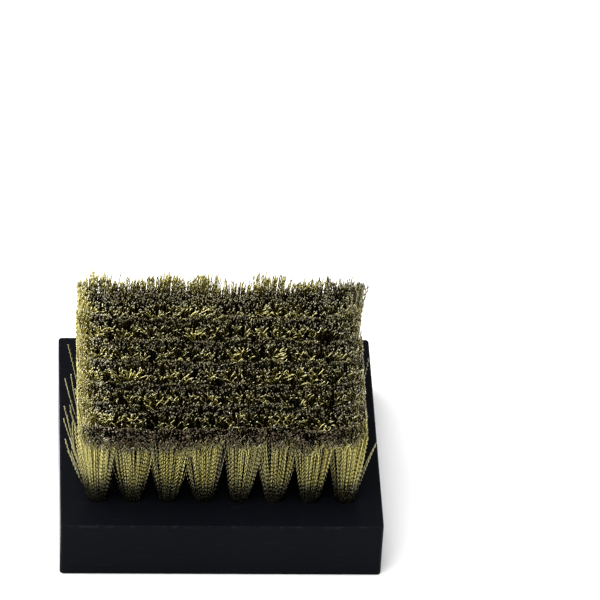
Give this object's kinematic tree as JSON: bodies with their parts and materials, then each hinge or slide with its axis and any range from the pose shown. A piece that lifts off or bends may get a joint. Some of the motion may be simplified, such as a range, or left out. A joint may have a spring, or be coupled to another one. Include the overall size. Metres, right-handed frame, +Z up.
{
  "type": "soldering iron tip brush stand",
  "caption": "Low black block that stands on a bench, with a dense field of crimped brass wire tufts for wiping a soldering iron's tip clean.",
  "frame": {"origin": "on the bench, below the middle of the block", "axes": "+X to the right along the block's long side, +Y to the back, +Z up along the bristles"},
  "size_m": [0.05, 0.045, 0.024],
  "materials": {
    "block_plastic": "black, smooth and slightly glossy, with fine rubbing marks",
    "brass_wire": "bright drawn wire, crimped, with ends darkened by flux"
  },
  "bodies": {
    "root": {"brush_block": "block_plastic", "tuft_row1_col1": "brass_wire", "tuft_row1_col2": "brass_wire", "tuft_row1_col3": "brass_wire", "tuft_row1_col4": "brass_wire", "tuft_row1_col5": "brass_wire", "tuft_row1_col6": "brass_wire", "tuft_row1_col7": "brass_wire", "tuft_row1_col8": "brass_wire", "tuft_row2_col1": "brass_wire", "tuft_row2_col2": "brass_wire", "tuft_row2_col3": "brass_wire", "tuft_row2_col4": "brass_wire", "tuft_row2_col5": "brass_wire", "tuft_row2_col6": "brass_wire", "tuft_row2_col7": "brass_wire", "tuft_row2_col8": "brass_wire", "tuft_row3_col1": "brass_wire", "tuft_row3_col2": "brass_wire", "tuft_row3_col3": "brass_wire", "tuft_row3_col4": "brass_wire", "tuft_row3_col5": "brass_wire", "tuft_row3_col6": "brass_wire", "tuft_row3_col7": "brass_wire", "tuft_row3_col8": "brass_wire", "tuft_row4_col1": "brass_wire", "tuft_row4_col2": "brass_wire", "tuft_row4_col3": "brass_wire", "tuft_row4_col4": "brass_wire", "tuft_row4_col5": "brass_wire", "tuft_row4_col6": "brass_wire", "tuft_row4_col7": "brass_wire", "tuft_row4_col8": "brass_wire", "tuft_row5_col1": "brass_wire", "tuft_row5_col2": "brass_wire", "tuft_row5_col3": "brass_wire", "tuft_row5_col4": "brass_wire", "tuft_row5_col5": "brass_wire", "tuft_row5_col6": "brass_wire", "tuft_row5_col7": "brass_wire", "tuft_row5_col8": "brass_wire", "tuft_row6_col1": "brass_wire", "tuft_row6_col2": "brass_wire", "tuft_row6_col3": "brass_wire", "tuft_row6_col4": "brass_wire", "tuft_row6_col5": "brass_wire", "tuft_row6_col6": "brass_wire", "tuft_row6_col7": "brass_wire", "tuft_row6_col8": "brass_wire", "tuft_row7_col1": "brass_wire", "tuft_row7_col2": "brass_wire", "tuft_row7_col3": "brass_wire", "tuft_row7_col4": "brass_wire", "tuft_row7_col5": "brass_wire", "tuft_row7_col6": "brass_wire", "tuft_row7_col7": "brass_wire", "tuft_row7_col8": "brass_wire"}
  },
  "joints": []
}
